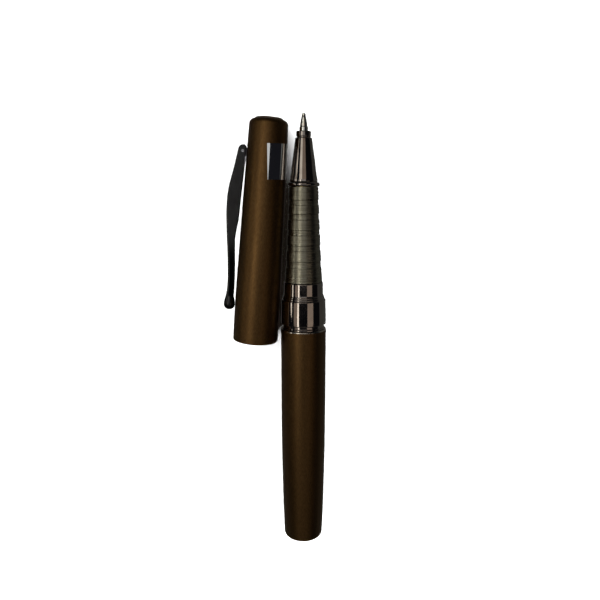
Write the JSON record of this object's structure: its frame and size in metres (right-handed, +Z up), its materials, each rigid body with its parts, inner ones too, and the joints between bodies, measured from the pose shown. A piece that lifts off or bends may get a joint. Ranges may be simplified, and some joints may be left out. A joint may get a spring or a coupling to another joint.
{
  "type": "rollerball pen",
  "caption": "Metal rollerball pen lying beside its pull-off cap, with a screw-on writing section, ink refill and sprung pocket clip.",
  "frame": {"origin": "on the surface the pen lies on, under the middle of the pen and cap together", "axes": "+Y along the pen towards its tip, +Z up, and the cap lies on the -X side"},
  "size_m": [0.0298, 0.1264, 0.0132],
  "materials": {
    "brown_lacquer": "satin metallic lacquer, dark bronze brown",
    "bright_trim": "polished thin edge",
    "brass": "turned",
    "black_plastic": "moulded",
    "spring_steel": "drawn wire",
    "seal_rubber": "matte",
    "gunmetal": "polished dark plating",
    "pewter": "turned satin",
    "refill_metal": "satin",
    "ink_fibre": "ink-soaked fibre",
    "tip_steel": "polished",
    "dark_disc": "semi-gloss",
    "clip_metal": "polished black plating",
    "mirror_plate": "mirror polished, blank"
  },
  "bodies": {
    "barrel": {"barrel_shell": "brown_lacquer", "barrel_trim_ring": "bright_trim", "thread_bush": "brass", "tail_spring_seat": "black_plastic", "refill_spring": "spring_steel"},
    "seal": {"section_oring": "seal_rubber"},
    "section": {"section_core": "brass", "section_ring": "gunmetal", "grip_sleeve": "pewter", "bead_ring": "gunmetal", "nose_cone": "gunmetal", "nose_collar": "gunmetal"},
    "refill": {"refill_tube": "refill_metal", "refill_end_plug": "black_plastic", "ink_reservoir": "ink_fibre", "feed_wick": "ink_fibre", "refill_nose_sleeve": "black_plastic", "refill_tip": "tip_steel"},
    "ball": {"writing_ball": "tip_steel"},
    "cap": {"cap_shell": "brown_lacquer", "cap_end_disc": "dark_disc", "cap_screw": "brass", "cap_inner_seal": "black_plastic", "cap_clutch": "black_plastic", "clip_boss": "clip_metal", "clip_pin": "spring_steel", "clip_leaf_spring": "spring_steel", "name_plate": "mirror_plate"},
    "clip": {"clip": "clip_metal", "clip_ball": "clip_metal"}
  },
  "joints": [
    {"name": "section_slide", "type": "slide", "parent": "barrel", "child": "seal", "axis": [0, 1, 0], "range_m": [0, 0.004], "deforming": ["refill_spring"]},
    {"name": "section_unscrew", "type": "hinge", "parent": "seal", "child": "section", "pos_m": [0.00831, 0.0028, 0.0066], "axis": [0, 1, 0], "range_deg": [0, 1440]},
    {"name": "refill_press", "type": "slide", "parent": "section", "child": "refill", "axis": [0, -1, 0], "range_m": [0, 0.001], "stiffness_N_per_m": 250, "springref_m": -0.004, "deforming": ["refill_spring"]},
    {"name": "ball_roll", "type": "hinge", "parent": "refill", "child": "ball", "pos_m": [0.00831, 0.06285, 0.0066], "axis": [1, 0, 0], "continuous": true},
    {"name": "cap_pull", "type": "slide", "parent": "barrel", "child": "cap", "axis": [0, 1, 0], "range_m": [0, 0.07]},
    {"name": "clip_lift", "type": "hinge", "parent": "cap", "child": "clip", "pos_m": [-0.00846, 0.05304, 0.00655], "axis": [0, 0, -1], "range_deg": [0, 4], "stiffness_Nm_per_rad": 0.3, "springref_deg": -8.59, "deforming": ["clip_leaf_spring"]}
  ],
  "couplings": [
    {"joint": "section_unscrew", "follows": "section_slide", "rad_per_m": 6283.2}
  ]
}
